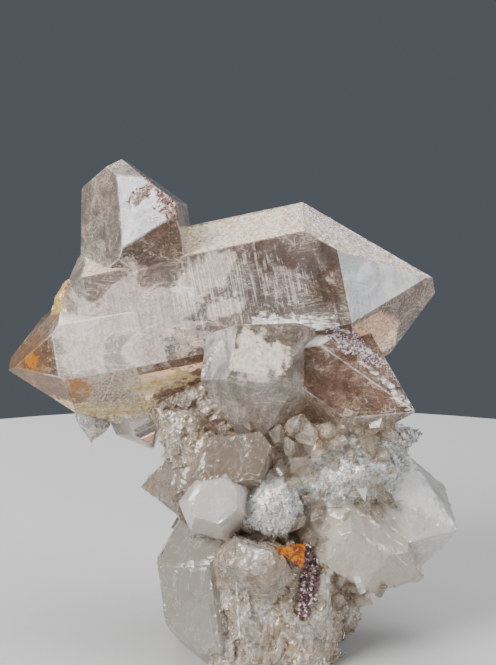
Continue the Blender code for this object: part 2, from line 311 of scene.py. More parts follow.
def sprinkled_crystals(where):
    """Small crystals pointing outwards all over the lower part."""
    draw = random.Random(SPRINKLE_SEED)
    for number in range(SPRINKLE_COUNT):
        rise = SPRINKLE_TOP + (SPRINKLE_BOTTOM - SPRINKLE_TOP) * (number + 0.5) / SPRINKLE_COUNT
        turn = GOLDEN_ANGLE * number + draw.uniform(-12.0, 12.0)
        place = SPRINKLE_CENTRE + at_height(turn, rise) * SPRINKLE_REACH
        radius = draw.uniform(*SPRINKLE_RADIUS)
        lean = degrees(asin(rise)) + draw.uniform(-SPRINKLE_SCATTER, SPRINKLE_SCATTER)
        heading = turn + draw.uniform(-SPRINKLE_SCATTER, SPRINKLE_SCATTER)
        sides = six_drawn(draw, radius, SPRINKLE_SIDES)
        tips = six_drawn(draw, radius, SPRINKLE_TIPS)
        crystal(where, f"small_crystal_{number:02d}", place, heading, lean, draw.uniform(0.0, 60.0),
                sides=sides, tips=tips, feet=radius * 3.0)


def front_druse(where):
    """A bed of small points between the larger crystals of the front."""
    draw = random.Random(DRUSE_SEED)
    for number in range(DRUSE_COUNT):
        across = DRUSE_HALF_SIZE.x * (2.0 * ((number * GOLDEN_SHARE) % 1.0) - 1.0)
        up = DRUSE_HALF_SIZE.z * (2.0 * (number + 0.5) / DRUSE_COUNT - 1.0)
        place = DRUSE_CENTRE + Vector((across, DRUSE_CURVE * across * across, up))
        radius = draw.uniform(*DRUSE_RADIUS)
        sides = six_drawn(draw, radius, DRUSE_SIDES)
        tips = six_drawn(draw, radius, DRUSE_TIPS)
        heading = -90.0 + DRUSE_FAN * across + draw.uniform(-30.0, 30.0)
        crystal(where, f"druse_{number:03d}", place, heading, draw.uniform(-35.0, 50.0),
                draw.uniform(0.0, 60.0), sides=sides, tips=tips, feet=radius * 3.5)


def new_collection(name):
    made = bpy.data.collections.new(name)
    bpy.context.scene.collection.children.link(made)
    return made


def boolean(target, operation):
    made = target.modifiers.new(operation.lower(), "BOOLEAN")
    made.operation = operation
    made.solver = "MANIFOLD"
    return made


def joined(name, helpers):
    """One closed mesh of a collection's solids, cut flat at the ground, and the solids' names."""
    first = helpers.objects[0]
    helpers.objects.unlink(first)
    bpy.context.scene.collection.objects.link(first)
    join = boolean(first, "UNION")
    join.operand_type = "COLLECTION"
    join.collection = helpers
    ground = ground_block()
    boolean(first, "DIFFERENCE").object = ground
    bpy.context.view_layer.update()
    graph = bpy.context.evaluated_depsgraph_get()
    data = bpy.data.meshes.new_from_object(first.evaluated_get(graph))
    names = [first.name] + [item.name for item in helpers.objects]
    for item in list(helpers.objects) + [first, ground]:
        bpy.data.objects.remove(item, do_unlink=True)
    bpy.data.collections.remove(helpers)
    data.name = name
    return data, names


def ground_block():
    mesh = bmesh.new()
    bmesh.ops.create_cube(mesh, size=1.0)
    size = Matrix.Diagonal((BLOCK * MM, BLOCK * MM, GROUND_DEPTH * MM, 1.0))
    drop = Matrix.Translation((0.0, 0.0, -GROUND_DEPTH * MM / 2.0))
    bmesh.ops.transform(mesh, matrix=drop @ size, verts=mesh.verts[:])
    return linked("ground_block", stored(mesh, bpy.data.meshes.new("ground_block")))


class Look:
    """What a face looks like: haze is the share of light that it scatters, frost is how much of it is white
    and rough, chip is how deep it is chipped, in millimetres, and tint is its own colour.
    """

    def __init__(self, haze=0.2, frost=0.1, chip=0.0, tint=(1.0, 1.0, 1.0)):
        self.haze, self.frost, self.chip, self.tint = haze, frost, chip, tint


# Worn edge faces: frosted white, partly real wear and partly a painted highlight along the crystal edges.
WORN_EDGE_AND_HIGHLIGHT_LOOK = Look(haze=0.34, frost=0.32)
CLEAR_LOOK = Look(haze=0.2, frost=0.15, tint=(0.95, 0.9, 0.84))
CLEAR_LOOKS = {
    "long_crystal": {
        "side0": Look(0.12, 0.1, 0.0, (0.93, 0.8, 0.72)),
        "side5": Look(0.6, 1.0, 0.6, (1.0, 0.86, 0.68)),
        "tip5": Look(0.8, 1.0, 0.4, (1.0, 0.89, 0.86)),
        "tip0": Look(0.34, 0.04, 0.0, (0.9, 0.91, 0.92)),
        "tip1": Look(0.12, 0.5, 0.0, (0.62, 0.49, 0.4)),
        "side1": Look(0.06, 0.3, 0.0, (0.8, 0.62, 0.48)),
        "side4": Look(0.3, 0.6, 0.2, (1.0, 0.95, 0.9)),
        "broken0": Look(0.5, 0.6, 0.4, (0.95, 0.85, 0.7)),
    },
    "parallel_crystal": {
        "side0": Look(0.25, 0.3, 0.0, (1.0, 0.9, 0.82)),
        "foot0": Look(0.14, 0.15, 0.0, (0.62, 0.44, 0.3)),
        "foot1": Look(0.14, 0.15, 0.0, (0.66, 0.46, 0.3)),
        "foot5": Look(0.14, 0.15, 0.0, (0.8, 0.6, 0.42)),
        "side1": Look(0.3, 0.6, 0.2, (0.9, 0.76, 0.58)),
        "side5": Look(0.3, 0.4, 0.0, (1.0, 0.94, 0.9)),
    },
    "top_crystal": {
        "tip0": Look(0.4, 0.1, 0.0, (0.9, 0.9, 0.96)),
        "side0": Look(0.2, 0.3, 0.0, (0.85, 0.76, 0.66)),
        "tip1": Look(0.04, 0.35, 0.0, (0.55, 0.43, 0.34)),
        "side1": Look(0.06, 0.45, 0.0, (0.6, 0.5, 0.42)),
        "broken0": Look(0.3, 0.45, 0.3, (0.95, 0.9, 0.85)),
    },
    "middle_crystal": {
        "side0": Look(0.18, 0.25, 0.0, (0.78, 0.69, 0.57)),
        "tip0": Look(0.3, 0.25, 0.0, (0.74, 0.67, 0.58)),
        "side5": Look(0.35, 0.12, 0.0, (0.76, 0.67, 0.62)),
        "side1": Look(0.4, 0.2, 0.0, (0.84, 0.8, 0.76)),
        "broken0": Look(0.6, 0.95, 0.3, (1.0, 0.98, 0.95)),
    },
    "right_crystal": {
        "side5": Look(0.6, 1.0, 0.3, (1.0, 0.98, 0.95)),
        "side4": Look(0.5, 0.9, 0.3, (1.0, 0.98, 0.95)),
        "tip5": Look(0.2, 0.25, 0.2, (0.66, 0.45, 0.34)),
        "tip0": Look(0.22, 0.3, 0.0, (0.5, 0.35, 0.26)),
        "side0": Look(0.3, 0.45, 0.0, (0.72, 0.54, 0.4)),
        "tip1": Look(0.3, 0.35, 0.2, (0.85, 0.76, 0.66)),
        "side1": Look(0.3, 0.35, 0.2, (0.85, 0.76, 0.66)),
    },
}

SMALL_LOOK = Look(0.2, 0.25, 0.0, (0.94, 0.84, 0.7))
MILKY_LOOK = Look(0.5, 0.35, 2.4, (0.88, 0.79, 0.67))
MILKY_LOOKS = {
    "lower_plate": Look(0.8, 0.0, 0.1, (0.78, 0.72, 0.69)),
    "left_brown_crystal": Look(0.38, 0.13, 0.7, (0.66, 0.53, 0.43)),
    "left_plate": Look(0.75, 0.0, 0.1, (0.37, 0.34, 0.29)),
    "right_frosted_crystal": Look(0.75, 0.12, 0.06, (0.78, 0.8, 0.77)),
    "right_beige_prism": Look(0.6, 0.1, 0.4, (0.88, 0.79, 0.66)),
    "sparkling_crystal": Look(0.65, 0.8, 1.5, (0.92, 0.85, 0.74)),
    "shoulder_crystal": Look(0.6, 0.8, 1.2, (0.84, 0.78, 0.7)),
    "front_lump": Look(0.65, 0.95, 1.5, (0.96, 0.94, 0.88)),
    "striped_crystal": Look(0.55, 0.2, 0.9, (0.82, 0.74, 0.64)),
    "foot_crystal": Look(0.5, 0.22, 2.4, (0.9, 0.81, 0.69)),
    "left_foot_crystal": Look(0.55, 0.2, 1.6, (0.82, 0.74, 0.63)),
    "hanging_point": Look(0.7, 0.3, 0.2, (0.8, 0.8, 0.8)),
    "neck_crystal": Look(0.5, 0.35, 1.6, (0.8, 0.67, 0.52)),
    "waist_crystal": Look(0.45, 0.14, 0.6, (0.52, 0.41, 0.32)),
    "corner_crystal": Look(0.5, 0.5, 0.7, (0.8, 0.74, 0.66)),
    "left_matrix": Look(1.0, 0.35, 0.6, (0.9, 0.62, 0.22)),
}


# A polygon lies on a crystal's face where their normals' product and their distance in metres pass these.
SAME_WAY = 0.9995
SAME_PLACE = 5e-5


def given_look(looks, name, label):
    """The look given for a crystal or for this face of it, if any."""
    own = looks.get(name)
    return own.get(label) if isinstance(own, dict) else own


def store_on_faces(data, name, values):
    layer = data.attributes.new(name, "FLOAT_VECTOR", "FACE")
    layer.data.foreach_set("vector", np.array(values, np.float32).ravel())


def describe_faces(data, names, looks, default, unmatched, draw):
    """Finds the crystal face that each polygon lies on, and stores its look, tint and crystal axis."""
    normals, offsets, faces = [], [], []
    for name in names:
        shade = draw.uniform(0.88, 1.08)
        usual = SMALL_LOOK if name.startswith(("small_crystal", "druse")) else default
        for normal, offset, label, axis in planes_of[name]:
            given = given_look(looks, name, label)
            normals.append(normal)
            offsets.append(offset)
            faces.append((given or usual, 1.0 if given else shade, axis))
    normals = np.array(normals)
    offsets = np.array(offsets)
    rows = {"look": [], "tint": [], "axis": []}
    for polygon in data.polygons:
        facing = normals @ np.array(polygon.normal)
        gap = np.abs(normals @ np.array(polygon.center) - offsets)
        wrong = gap + np.where(facing > SAME_WAY, 0.0, 1.0)
        best = int(wrong.argmin())
        look, shade, axis = faces[best] if wrong[best] < SAME_PLACE else (unmatched, 1.0, (0.0, 0.0, 1.0))
        rows["look"].append((look.haze, look.frost, look.chip))
        rows["tint"].append(tuple(channel * shade for channel in look.tint))
        rows["axis"].append(tuple(axis))
    for key, values in rows.items():
        store_on_faces(data, key, values)


# How the surface breaks up: the size of its chips in millimetres and the share of each size.
CLEAR_CHIPS = ((1.6, 0.6), (0.7, 0.4))
MILKY_CHIPS = ((7.0, 0.5), (3.2, 0.4), (1.2, 0.1))
CHIP_SQUEEZE = (1.0, 1.0, 0.6)
LONGEST_EDGE = 1.0
SPLIT_ROUNDS = 9
# An edge is sharp where its faces differ by more than this, in radians.
SHARP_EDGE = 0.3


def opened(data):
    mesh = bmesh.new()
    mesh.from_mesh(data)
    return mesh


def split_long_edges(data):
    """Splits the edges of chipped faces until none is longer than LONGEST_EDGE."""
    mesh = opened(data)
    look = mesh.faces.layers.float_vector["look"]
    bmesh.ops.triangulate(mesh, faces=mesh.faces[:])
    for _ in range(SPLIT_ROUNDS):
        long_edges = [
            edge for edge in mesh.edges
            if edge.calc_length() > LONGEST_EDGE * MM and all(face[look].z > 0.0 for face in edge.link_faces)
        ]
        if not long_edges:
            break
        bmesh.ops.subdivide_edges(mesh, edges=long_edges, cuts=1)
        bmesh.ops.triangulate(mesh, faces=[face for face in mesh.faces if len(face.verts) > 3])
    stored(mesh, data)


def chip_values(points, spacing, seed):
    """A value from 0 to 1 at each point, flat and tilted across each cell of about this spacing."""
    rng = np.random.default_rng(seed)
    low, high = points.min(0), points.max(0)
    shell = points[rng.permutation(len(points))]
    cells = {}
    for point in shell:
        key = tuple(np.floor((point - low) / spacing).astype(int))
        if key not in cells:
            cells[key] = point
    centres = np.array(list(cells.values())) + rng.normal(0.0, spacing * 0.2, (len(cells), 3))
    tree = kdtree.KDTree(len(centres))
    for number, centre in enumerate(centres):
        tree.insert(centre, number)
    tree.balance()
    tilt = rng.normal(0.0, 1.0, (len(centres), 3))
    tilt /= np.linalg.norm(tilt, axis=1)[:, None]
    base = rng.uniform(0.2, 0.8, len(centres))
    nearest = np.array([tree.find(point)[1] for point in points])
    across = ((points - centres[nearest]) * tilt[nearest]).sum(1) / spacing
    return np.clip(base[nearest] + across, 0.0, 1.0)


def chipped_points(mesh):
    """The points whose faces are all chipped, and how deep the chips are there, in millimetres."""
    look = mesh.faces.layers.float_vector["look"]
    moved = [v for v in mesh.verts if v.link_faces and all(f[look].z > 0.0 for f in v.link_faces)]
    return moved, np.array([min(f[look].z for f in v.link_faces) for v in moved])


def push_in(v, amount):
    """Moves a point inwards by so many millimetres, but not below the ground."""
    v.co -= v.normal * (amount * MM)
    v.co.z = max(v.co.z, 0.0)


def chip_surface(data, spacings, seed, squeeze=(1.0, 1.0, 1.0)):
    """Pushes the points of chipped faces inwards, so that the surface breaks up in small flat chips.

    Chips are longer along an axis that squeeze makes shorter. How deep a point lies is kept as "deep".
    """
    mesh = opened(data)
    deep = mesh.verts.layers.float.new("deep")
    moved, depths = chipped_points(mesh)
    points = np.array([v.co for v in moved]) / MM * np.array(squeeze)
    values = np.zeros(len(points))
    for number, (spacing, share) in enumerate(spacings):
        values += share * chip_values(points, spacing, seed + number)
    for v, depth, value in zip(moved, depths, values):
        push_in(v, depth * value)
        v[deep] = value
    stored(mesh, data)


def wear_edges(data, reach, depth, spacing, seed):
    """Breaks chips out of the sharp edges, as far from them and as deep as given in millimetres."""
    mesh = opened(data)
    moved, _ = chipped_points(mesh)
    sharp = {v for edge in mesh.edges if edge.calc_face_angle(0.0) > SHARP_EDGE for v in edge.verts}
    tree = kdtree.KDTree(len(sharp))
    for number, v in enumerate(sharp):
        tree.insert(v.co, number)
    tree.balance()
    values = chip_values(np.array([v.co for v in moved]) / MM, spacing, seed)
    for v, value in zip(moved, values):
        near = max(0.0, 1.0 - tree.find(v.co)[2] / (reach * MM))
        push_in(v, depth * near * value)
    stored(mesh, data)


def point_shape():
    """A quartz point with a tip at both ends, about one unit long and one wide: points and faces."""
    points = [(0.0, 0.0, 1.0), (0.0, 0.0, -1.0)]
    for height in (0.35, -0.35):
        for step in range(6):
            points.append((0.5 * cos(pi * step / 3.0), 0.5 * sin(pi * step / 3.0), height))
    faces = []
    for step in range(6):
        after = (step + 1) % 6
        faces += [(0, 2 + step, 2 + after), (1, 8 + after, 8 + step),
                  (2 + step, 8 + step, 8 + after), (2 + step, 8 + after, 2 + after)]
    return np.array(points), np.array(faces)


def chunk_shape():
    """A lump with twenty faces: points and faces."""
    mesh = bmesh.new()
    bmesh.ops.create_icosphere(mesh, subdivisions=1, radius=0.6)
    points = np.array([v.co for v in mesh.verts])
    faces = np.array([[v.index for v in face.verts] for face in mesh.faces])
    mesh.free()
    return points, faces


def flake_shape():
    """A thin six-sided flake, about one unit long: points and faces."""
    points, faces = [], []
    for height in (0.05, -0.05):
        for step in range(6):
            points.append((0.55 * cos(pi * step / 3.0), 0.34 * sin(pi * step / 3.0), height))
    for step in range(1, 5):
        faces += [(0, step, step + 1), (6, 7 + step, 6 + step)]
    for step in range(6):
        after = (step + 1) % 6
        faces += [(step, 6 + step, 6 + after), (step, 6 + after, after)]
    return np.array(points), np.array(faces)


def uncovered(places, normals, data):
    """The places that lie outside another mesh, with their normals."""
    faces = [tuple(p.vertices) for p in data.polygons]
    cover = bvhtree.BVHTree.FromPolygons([v.co for v in data.vertices], faces)
    free = []
    for place in places:
        place = Vector(place) * MM
        found, outward, _, _ = cover.find_nearest(place)
        free.append((place - found).dot(outward) > 0.0)
    return places[free], normals[free]


def surface_places(data, count, wanted, seed):
    """Random places on a mesh: points in millimetres, normals. wanted gives each face's share per area."""
    rng = np.random.default_rng(seed)
    corners = np.array([[data.vertices[i].co for i in p.vertices[:3]] for p in data.polygons]) / MM
    normals = np.array([p.normal for p in data.polygons])
    weight = np.array([p.area for p in data.polygons]) * wanted
    pick = rng.choice(len(weight), size=count, p=weight / weight.sum())
    first, second = rng.random(count), rng.random(count)
    over = first + second > 1.0
    first[over], second[over] = 1.0 - first[over], 1.0 - second[over]
    a, b, c = corners[pick, 0], corners[pick, 1], corners[pick, 2]
    return a + first[:, None] * (b - a) + second[:, None] * (c - a), normals[pick]


def unit(vectors):
    return vectors / np.linalg.norm(vectors, axis=1)[:, None]


def scattered(name, shape, places, normals, sizes, lean, sink, tints, material, seed):
    """One mesh of many small solids, each sunk a little into the surface that it grows on."""
    rng = np.random.default_rng(seed)
    points, faces = shape
    count = len(places)
    out = unit(normals + rng.normal(0.0, lean, (count, 3)))
    side = unit(np.cross(out, rng.normal(0.0, 1.0, (count, 3))))
    axes = np.stack([side, np.cross(out, side), out], axis=1)
    local = points[None] * rng.uniform(0.75, 1.25, (count, len(points), 1))
    world = (local @ axes) * sizes[:, None, None]
    world += (places + normals * (sizes * sink)[:, None])[:, None]
    world[:, :, 2] = np.maximum(world[:, :, 2], 0.0)
    data = bpy.data.meshes.new(name)
    index = (faces[None] + (np.arange(count) * len(points))[:, None, None]).reshape(-1, 3)
    data.from_pydata((world.reshape(-1, 3) * MM).tolist(), [], index.tolist())
    store_on_faces(data, "tint", np.repeat(tints, len(faces), axis=0))
    placed(name, data, material)


def placed(name, data, material):
    """A piece of the part, riding with it."""
    data.materials.clear()
    data.materials.append(material)
    made = linked(name, data)
    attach(made, "root")
    return made


class Tree:
    """Short calls for the nodes of one material."""

    def __init__(self, name):
        self.material = bpy.data.materials.new(name)
        self.material.use_nodes = True
        self.nodes = self.material.node_tree.nodes
        self.links = self.material.node_tree.links
        self.shader = self.nodes["Principled BSDF"]
        self.place = self.vector("SCALE", self.new("ShaderNodeTexCoord").outputs["Object"], scale=1.0 / MM)

    def new(self, kind, **settings):
        made = self.nodes.new(kind)
        for key, value in settings.items():
            setattr(made, key, value)
        return made

    def feed(self, socket, value):
        if isinstance(value, bpy.types.NodeSocket):
            self.links.new(value, socket)
        elif value is not None:
            socket.default_value = value

    def set(self, name, value):
        self.feed(self.shader.inputs[name], value)

    def fed(self, kind, values):
        """A new node with these values in the inputs of these names."""
        made = self.new(kind)
        for key, value in values.items():
            self.feed(made.inputs[key], value)
        return made

    def math(self, operation, a, b=None, c=None, clamp=False):
        made = self.new("ShaderNodeMath", operation=operation, use_clamp=clamp)
        for socket, value in zip(made.inputs, (a, b, c)):
            self.feed(socket, value)
        return made.outputs[0]

    def times(self, a, b):
        return self.math("MULTIPLY", a, b)

    def piled(self, value, layers):
        """The value, plus the share of each layer times its amount."""
        for share, amount in layers:
            value = self.math("MULTIPLY_ADD", share, amount, value)
        return value

    def vector(self, operation, a, b=None, scale=None):
        made = self.new("ShaderNodeVectorMath", operation=operation)
        self.feed(made.inputs[0], a)
        self.feed(made.inputs[1], b)
        if scale is not None:
            self.feed(made.inputs["Scale"], scale)
        return made.outputs["Value" if operation in ("DOT_PRODUCT", "DISTANCE") else "Vector"]

    def squeezed(self, amounts):
        return self.vector("MULTIPLY", self.place, amounts)

    def number(self, name):
        return self.new("ShaderNodeAttribute", attribute_name=name).outputs["Fac"]

    def attribute(self, name):
        return self.new("ShaderNodeAttribute", attribute_name=name).outputs["Vector"]

    def look(self):
        """The haze and the frost of the face."""
        return self.fed("ShaderNodeSeparateXYZ", {0: self.attribute("look")}).outputs[:2]

    def noise(self, vector, scale, detail=3.0, roughness=0.55, distortion=0.0):
        values = {"Vector": vector, "Scale": scale, "Detail": detail, "Roughness": roughness}
        return self.fed("ShaderNodeTexNoise", values | {"Distortion": distortion}).outputs["Fac"]

    def between(self, value, low, high, to_low=0.0, to_high=1.0):
        """value, eased from to_low at low to to_high at high."""
        made = self.new("ShaderNodeMapRange", interpolation_type="SMOOTHSTEP")
        for socket, item in zip(made.inputs, (value, low, high, to_low, to_high)):
            self.feed(socket, item)
        return made.outputs[0]

    def mix(self, factor, a, b, blend="MIX"):
        made = self.new("ShaderNodeMix", data_type="RGBA", blend_type=blend)
        colours = [socket for socket in made.inputs if socket.type == "RGBA"]
        self.feed(made.inputs[0], factor)
        self.feed(colours[0], (*a, 1.0) if isinstance(a, tuple) else a)
        self.feed(colours[1], (*b, 1.0) if isinstance(b, tuple) else b)
        return [socket for socket in made.outputs if socket.type == "RGBA"][0]

    def painted(self, colour, layers):
        """The colour with layers over it, each with its share, how strong it is and its own colour."""
        for share, amount, tint in layers:
            colour = self.mix(self.times(share, amount), colour, tint)
        return colour

    def bump(self, height, strength, distance, normal):
        return self.fed("ShaderNodeBump", {
            "Strength": strength, "Distance": distance * MM, "Height": height, "Normal": normal,
        }).outputs["Normal"]

    def facets(self, layers):
        """The surface's normal, tilted at random from cell to cell: layers of (millimetres, tilt)."""
        normal = self.new("ShaderNodeNewGeometry").outputs["Normal"]
        for size, tilt in layers:
            cells = self.fed("ShaderNodeTexVoronoi", {"Vector": self.place, "Scale": 1.0 / size})
            away = self.vector("SUBTRACT", cells.outputs["Color"], (0.5, 0.5, 0.5))
            normal = self.vector("ADD", normal, self.vector("SCALE", away, scale=tilt))
        return self.vector("NORMALIZE", normal)

    def veins(self, vector, scale, width, distortion):
        """1 along thin curving lines, as where cracks meet the surface."""
        value = self.noise(vector, scale, 4.0, 0.6, distortion)
        away = self.math("ABSOLUTE", self.math("SUBTRACT", value, 0.5))
        return self.between(away, 0.0, width, 1.0, 0.0)

    def blob(self, centre, radius, ragged):
        """1 near a place on the part and 0 far from it, both in millimetres, with a ragged edge."""
        apart = self.vector("DISTANCE", self.place, centre)
        rough = self.math("MULTIPLY_ADD", ragged, radius * 1.2, apart)
        return self.between(rough, radius * 1.25, radius * 1.75, 1.0, 0.0)

    def streak(self, start, end, radius, ragged):
        """1 near a straight line between two places and 0 far from it, with a ragged edge."""
        start, along = Vector(start), Vector(end) - Vector(start)
        offset = self.vector("SUBTRACT", self.place, start)
        share = self.vector("DOT_PRODUCT", offset, along / along.length_squared)
        share = self.math("MULTIPLY", share, 1.0, clamp=True)
        nearest = self.vector("SCALE", tuple(along), scale=share)
        apart = self.vector("DISTANCE", offset, nearest)
        rough = self.math("MULTIPLY_ADD", ragged, radius * 1.2, apart)
        return self.between(rough, radius * 1.1, radius * 1.6, 1.0, 0.0)

    def streaks(self, lines, ragged):
        return self.most([self.streak(start, end, radius, ragged) for start, end, radius in lines])

    def patch(self, blobs, ragged):
        return self.most([self.blob(centre, radius, ragged) for *centre, radius in blobs])

    def most(self, values):
        result = values[0]
        for value in values[1:]:
            result = self.math("MAXIMUM", result, value)
        return result

    def smoky(self, density, colour):
        """The finished material, with a volume that takes up light."""
        smoke = self.fed("ShaderNodeVolumeAbsorption", {"Density": density, "Color": colour})
        self.links.new(smoke.outputs[0], self.nodes["Material Output"].inputs["Volume"])
        return self.material


SMOKE_DENSITY = 34.0
SMOKE_COLOUR = (0.62, 0.36, 0.16, 1.0)
MILKY_SMOKE_DENSITY = 30.0
MILKY_SMOKE_COLOUR = (0.66, 0.48, 0.3, 1.0)
QUARTZ_IOR = 1.544

# Stains and patches: where they are and how far they reach, in millimetres.
HONEY_STAINS = ((-63, -5, 70, 13), (-53, -8, 63.5, 9))
ORANGE_STAINS = ((-59.5, -9.5, 73, 2.3), (-54, -11, 74, 1.2), (-47.3, -13.6, 67.2, 3.3),
                 (-45.8, -11.6, 64.2, 1.2))
YELLOW_STAINS = ((-53.5, -3, 84, 9), (30.4, -16.8, 34.9, 0.5))
PEACH_STAINS = ((-21, -14.8, 79.5, 4.2), (14, -15.1, 93.2, 1.6), (-34.8, -9.7, 96.3, 2.2))
MILKY_VEILS = ((-20, -13, 91, 6), (-45, -12, 82, 9), (-36, -12, 85, 10),
               (-28, -12, 86, 8), (-32, -15, 76, 7), (-45, -14, 75, 7),
               (-31, -11, 66, 6), (-12, -13, 86, 5), (-13, -11.5, 95, 5))
GROWTH_ZONES = ((-18, -12, 90, 7), (-6, -13.5, 92, 8), (4, -13.5, 92, 5))
RED_ZONES = ((13, -15, 91.5, 5), (16, -22, 69, 7), (26, -20, 66, 4),
             (26, -10, 79, 7))
CREAM_PATCH = ((-3.4, -28.4, 77.5, 4.8), (-6.8, -28.4, 76, 3.6), (0.2, -28.4, 77.2, 3.8),
               (-5.5, -27, 81, 3.2), (-4, -29.5, 73.5, 3.2))
# Lines of the same kind: from where, to where, and how far to each side.
GOLDEN_BANDS = (((-50, -6.5, 60), (-41, -4.5, 59), 4.2),
                ((-41, -4.5, 59), (-31, -4, 60.5), 3.8),
                ((-31, -9.5, 66.5), (-22, -11, 69), 3.6))
WHITE_BANDS = (((-3, -16.5, 83.6), (14, -18, 83.2), 2),
               ((-12, -23.5, 82.5), (-17.5, -18, 71), 1.3),
               ((17, -17, 80), (22, -15, 76), 2.2),
               ((21, -19, 74.5), (24.5, -18.5, 71.5), 1),
               ((27, -19, 69.8), (31.5, -20.5, 64.5), 1.9),
               ((14, -24.5, 66), (20, -25, 64), 1.2),
               ((-24, -11.5, 91), (-20, -12, 90), 1.3))
BROWN_BANDS = (((-29.4, -6.2, 116), (-32.4, -7.2, 112.2), 2.8),
               ((-28.6, -8, 115), (-26, -9.4, 112), 1.1),
               ((-26.4, -10, 112), (-22.6, -12, 109.6), 2.6),
               ((-27.4, -11, 109.8), (-24.5, -11.6, 109), 1.8))


def clear_quartz():
    """Smoky quartz: clear glass with growth lines, hazy veils, flaky cracks and frosted faces."""
    tree = Tree("clear_smoky_quartz")
    haze, frost = tree.look()
    axis = tree.attribute("axis")
    along = tree.vector("DOT_PRODUCT", tree.place, axis)
    lengthwise = tree.vector("SCALE", axis, scale=tree.times(along, 2.4))
    drawn_out = tree.vector("ADD", tree.vector("SCALE", tree.place, scale=0.09), lengthwise)
    growth = tree.noise(drawn_out, 1.0, 2.0, 0.7)
    ragged = tree.noise(tree.place, 0.55, 4.0, 0.65)
    jagged = tree.between(ragged, 0.3, 0.7)
    cloud = tree.noise(tree.place, 0.11, 4.0, 0.6, 1.0)
    speck = tree.noise(tree.place, 1.5, 4.0, 0.8)
    grain = tree.noise(tree.place, 1.1, 3.0, 0.85)
    fibres = tree.noise(tree.squeezed((0.25, 0.5, 1.8)), 1.0, 3.0, 0.7, 0.6)

    frosted = tree.between(tree.piled(speck, [(frost, 0.42)]), 0.68, 0.84)
    grown = tree.math("MAXIMUM", tree.patch(GROWTH_ZONES, jagged), 0.1)
    lines = tree.times(tree.between(growth, 0.46, 0.62), grown)
    long_cracks = tree.veins(tree.squeezed((0.06, 0.12, 0.24)), 1.0, 0.022, 2.0)
    long_cracks = tree.times(long_cracks, tree.between(cloud, 0.42, 0.55, 0.1, 0.8))
    short_cracks = tree.veins(tree.place, 0.22, 0.016, 1.5)
    short_cracks = tree.times(short_cracks, tree.between(cloud, 0.44, 0.58))
    cracked = tree.math("MAXIMUM", long_cracks, short_cracks)
    mottled = tree.between(speck, 0.35, 0.65, 0.5, 1.0)
    mottled = tree.times(mottled, tree.between(growth, 0.35, 0.6, 0.85, 1.0))
    veiled = tree.times(tree.patch(MILKY_VEILS, tree.between(cloud, 0.3, 0.7)), mottled)
    cream = tree.patch(CREAM_PATCH, tree.between(ragged, 0.2, 0.8))
    white = tree.times(tree.streaks(WHITE_BANDS, jagged), tree.between(fibres, 0.4, 0.56, 0.1, 1.0))
    brown = tree.streaks(BROWN_BANDS, jagged)
    golden = tree.streaks(GOLDEN_BANDS, jagged)
    golden_flakes = tree.times(golden, tree.between(speck, 0.38, 0.55, 0.6, 1.0))
    honey = tree.patch(HONEY_STAINS, ragged)
    orange = tree.patch(ORANGE_STAINS, jagged)
    peach = tree.patch(PEACH_STAINS, jagged)
    red = tree.patch(RED_ZONES, ragged)

    milk = tree.piled(tree.times(haze, tree.between(cloud, 0.35, 0.68, 0.5, 1.5)), [
        (lines, 0.4), (cracked, 0.4), (veiled, 0.68), (cream, 0.8), (frosted, 0.75), (white, 0.75),
        (brown, 0.9), (golden_flakes, 0.95), (orange, 0.3), (honey, 0.35), (peach, 0.3),
    ])
    gold = tree.mix(tree.between(fibres, 0.42, 0.58), (0.9, 0.56, 0.18), (1.0, 0.9, 0.58))
    creamy = tree.mix(tree.between(grain, 0.4, 0.56), (0.8, 0.64, 0.46), (1.0, 0.95, 0.84))
    rust = tree.mix(tree.between(speck, 0.44, 0.56), (0.1, 0.03, 0.02), (0.42, 0.26, 0.21))
    dusty = tree.times(frosted, tree.between(grain, 0.46, 0.56))
    tree.set("Base Color", tree.painted(tree.attribute("tint"), [
        (cracked, 1.0, (1.0, 0.85, 0.7)),
        (veiled, 0.8, (1.0, 0.82, 0.72)),
        (red, 0.8, (0.6, 0.38, 0.28)),
        (honey, 0.9, (0.34, 0.17, 0.07)),
        (orange, 0.9, (0.6, 0.22, 0.02)),
        (golden, 0.9, gold),
        (peach, 0.6, (0.97, 0.76, 0.6)),
        (cream, 1.0, creamy),
        (white, 1.0, (1.0, 0.98, 0.96)),
        (dusty, 0.8, (0.5, 0.34, 0.2)),
        (brown, 1.0, rust),
    ]))
    tree.set("Transmission Weight", tree.math("SUBTRACT", 1.0, tree.math("MINIMUM", milk, 0.94)))
    tree.set("Roughness", tree.math("MULTIPLY_ADD", frosted, 0.25, 0.015))
    tree.set("IOR", QUARTZ_IOR)
    rough = tree.piled(tree.times(frosted, 0.8), [(cream, 0.5), (golden, 0.5), (white, 0.5), (brown, 0.5)])
    tree.set("Normal", tree.bump(growth, 0.3, 0.1, tree.facets([(0.6, rough)])))
    return tree.smoky(SMOKE_DENSITY, SMOKE_COLOUR)


